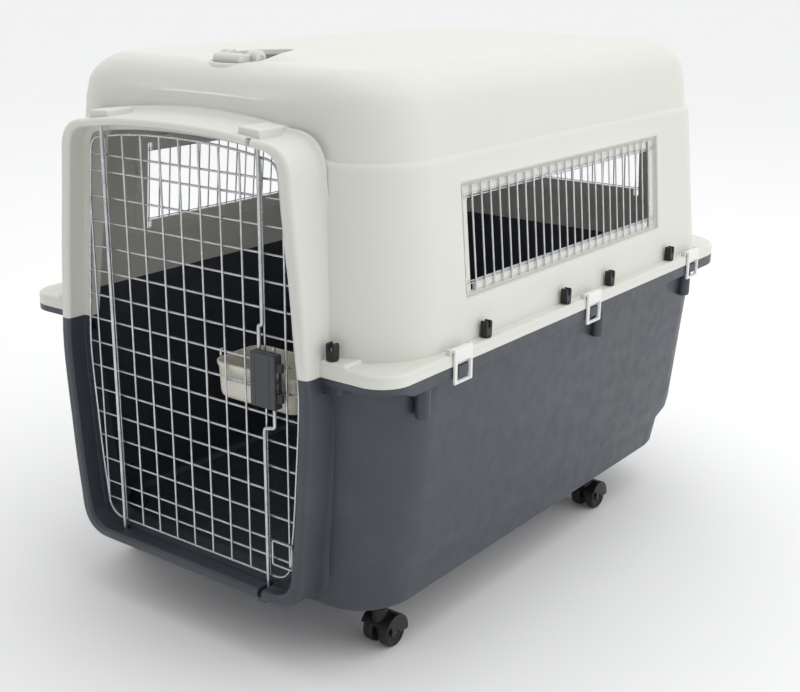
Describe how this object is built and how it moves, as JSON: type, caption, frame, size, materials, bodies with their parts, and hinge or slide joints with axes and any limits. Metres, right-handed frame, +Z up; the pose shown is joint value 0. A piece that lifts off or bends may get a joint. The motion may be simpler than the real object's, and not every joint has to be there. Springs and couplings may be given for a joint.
{
  "type": "pet transport carrier",
  "caption": "Two-part moulded kennel for a large animal with a wire-mesh door and squeeze latch, grille windows, hanging bowl, bolted and clipped flange, roof handle and swivel casters.",
  "frame": {"origin": "on the floor, under the middle of the kennel's length and width", "axes": "+X to the kennel's right-hand side as seen from its door, +Y from the door to the rear, +Z up; the door faces -Y"},
  "size_m": [0.6746, 1.003, 0.7865],
  "materials": {
    "shell_white": "fine moulded texture, warm off-white",
    "shell_slate": "fine moulded texture, slate grey",
    "window_wire": "bright zinc plated wire",
    "nut_plastic": "moulded, near black",
    "bolt_steel": "zinc plated",
    "clip_plastic": "smooth moulded, white",
    "caster_plastic": "moulded, near black",
    "caster_tread": "smooth hard tread",
    "axle_steel": "plain turned",
    "door_wire": "bright zinc plated wire",
    "rod_steel": "bright zinc plated wire",
    "spring_steel": "drawn wire",
    "latch_plastic": "moulded, charcoal",
    "bowl_plastic": "smooth moulded, cream",
    "handle_plastic": "fine moulded texture, warm off-white"
  },
  "bodies": {
    "kennel": {"lower_shell": "shell_slate", "upper_shell": "shell_white", "window_grille_right": "window_wire", "window_grille_left": "window_wire", "window_grille_rear": "window_wire", "wing_nut_left_1": "nut_plastic", "flange_bolt_left_1": "bolt_steel", "wing_nut_left_2": "nut_plastic", "flange_bolt_left_2": "bolt_steel", "wing_nut_left_3": "nut_plastic", "flange_bolt_left_3": "bolt_steel", "wing_nut_left_4": "nut_plastic", "flange_bolt_left_4": "bolt_steel", "wing_nut_front_left": "nut_plastic", "flange_bolt_front_left": "bolt_steel", "wing_nut_right_1": "nut_plastic", "flange_bolt_right_1": "bolt_steel", "wing_nut_right_2": "nut_plastic", "flange_bolt_right_2": "bolt_steel", "wing_nut_right_3": "nut_plastic", "flange_bolt_right_3": "bolt_steel", "wing_nut_right_4": "nut_plastic", "flange_bolt_right_4": "bolt_steel", "wing_nut_front_right": "nut_plastic", "flange_bolt_front_right": "bolt_steel"},
    "clip_left_1": {"flange_clip_left_1": "clip_plastic"},
    "clip_left_2": {"flange_clip_left_2": "clip_plastic"},
    "clip_left_3": {"flange_clip_left_3": "clip_plastic"},
    "clip_right_1": {"flange_clip_right_1": "clip_plastic"},
    "clip_right_2": {"flange_clip_right_2": "clip_plastic"},
    "clip_right_3": {"flange_clip_right_3": "clip_plastic"},
    "caster_front_left": {"caster_housing_front_left": "caster_plastic"},
    "wheels_front_left": {"caster_axle_front_left": "axle_steel", "caster_wheel_inner_front_left": "caster_tread", "caster_wheel_outer_front_left": "caster_tread"},
    "caster_front_right": {"caster_housing_front_right": "caster_plastic"},
    "wheels_front_right": {"caster_axle_front_right": "axle_steel", "caster_wheel_inner_front_right": "caster_tread", "caster_wheel_outer_front_right": "caster_tread"},
    "caster_rear_left": {"caster_housing_rear_left": "caster_plastic"},
    "wheels_rear_left": {"caster_axle_rear_left": "axle_steel", "caster_wheel_inner_rear_left": "caster_tread", "caster_wheel_outer_rear_left": "caster_tread"},
    "caster_rear_right": {"caster_housing_rear_right": "caster_plastic"},
    "wheels_rear_right": {"caster_axle_rear_right": "axle_steel", "caster_wheel_inner_rear_right": "caster_tread", "caster_wheel_outer_rear_right": "caster_tread"},
    "door": {"door_grid": "door_wire", "door_hinge_rod": "rod_steel", "latch_housing": "latch_plastic", "latch_spring": "spring_steel", "rod_guide": "door_wire", "bowl": "bowl_plastic", "bowl_hanger": "rod_steel"},
    "latch_upper": {"latch_rod_upper": "rod_steel", "latch_tab_upper": "latch_plastic"},
    "latch_lower": {"latch_rod_lower": "rod_steel", "latch_tab_lower": "latch_plastic"},
    "roof_handle": {"roof_handle": "handle_plastic"}
  },
  "joints": [
    {"name": "clip_left_1_swing", "type": "hinge", "parent": "kennel", "child": "clip_left_1", "pos_m": [-0.33, -0.325, 0.4343], "axis": [0, 1, 0], "range_deg": [0, 75]},
    {"name": "clip_left_2_swing", "type": "hinge", "parent": "kennel", "child": "clip_left_2", "pos_m": [-0.33, 0.016, 0.4343], "axis": [0, 1, 0], "range_deg": [0, 75]},
    {"name": "clip_left_3_swing", "type": "hinge", "parent": "kennel", "child": "clip_left_3", "pos_m": [-0.33, 0.357, 0.4343], "axis": [0, 1, 0], "range_deg": [0, 75]},
    {"name": "clip_right_1_swing", "type": "hinge", "parent": "kennel", "child": "clip_right_1", "pos_m": [0.33, -0.325, 0.4343], "axis": [0, -1, 0], "range_deg": [0, 75]},
    {"name": "clip_right_2_swing", "type": "hinge", "parent": "kennel", "child": "clip_right_2", "pos_m": [0.33, 0.016, 0.4343], "axis": [0, -1, 0], "range_deg": [0, 75]},
    {"name": "clip_right_3_swing", "type": "hinge", "parent": "kennel", "child": "clip_right_3", "pos_m": [0.33, 0.357, 0.4343], "axis": [0, -1, 0], "range_deg": [0, 75]},
    {"name": "caster_front_left_swivel", "type": "hinge", "parent": "kennel", "child": "caster_front_left", "pos_m": [-0.238, -0.368, 0.047], "axis": [0, 0, 1], "continuous": true},
    {"name": "caster_front_left_roll", "type": "hinge", "parent": "caster_front_left", "child": "wheels_front_left", "pos_m": [-0.238, -0.359, 0.022], "axis": [1, 0, 0], "continuous": true},
    {"name": "caster_front_right_swivel", "type": "hinge", "parent": "kennel", "child": "caster_front_right", "pos_m": [0.238, -0.368, 0.047], "axis": [0, 0, 1], "continuous": true},
    {"name": "caster_front_right_roll", "type": "hinge", "parent": "caster_front_right", "child": "wheels_front_right", "pos_m": [0.238, -0.359, 0.022], "axis": [1, 0, 0], "continuous": true},
    {"name": "caster_rear_left_swivel", "type": "hinge", "parent": "kennel", "child": "caster_rear_left", "pos_m": [-0.24, 0.205, 0.047], "axis": [0, 0, 1], "continuous": true},
    {"name": "caster_rear_left_roll", "type": "hinge", "parent": "caster_rear_left", "child": "wheels_rear_left", "pos_m": [-0.24, 0.214, 0.022], "axis": [1, 0, 0], "continuous": true},
    {"name": "caster_rear_right_swivel", "type": "hinge", "parent": "kennel", "child": "caster_rear_right", "pos_m": [0.24, 0.205, 0.047], "axis": [0, 0, 1], "continuous": true},
    {"name": "caster_rear_right_roll", "type": "hinge", "parent": "caster_rear_right", "child": "wheels_rear_right", "pos_m": [0.24, 0.214, 0.022], "axis": [1, 0, 0], "continuous": true},
    {"name": "door_swing", "type": "hinge", "parent": "kennel", "child": "door", "pos_m": [-0.14, -0.483, 0.4], "axis": [0, 0, -1], "range_deg": [0, 135]},
    {"name": "latch_upper_slide", "type": "slide", "parent": "door", "child": "latch_upper", "axis": [0, 0, -1], "range_m": [0, 0.012], "stiffness_N_per_m": 400, "springref_m": -0.01, "deforming": ["latch_spring"]},
    {"name": "latch_lower_slide", "type": "slide", "parent": "door", "child": "latch_lower", "axis": [0, 0, 1], "range_m": [0, 0.012]},
    {"name": "roof_handle_swing", "type": "hinge", "parent": "kennel", "child": "roof_handle", "pos_m": [0, -0.358, 0.7765], "axis": [-1, 0, 0], "range_deg": [0, 100]}
  ],
  "couplings": [
    {"joint": "latch_lower_slide", "follows": "latch_upper_slide", "ratio": 1}
  ]
}
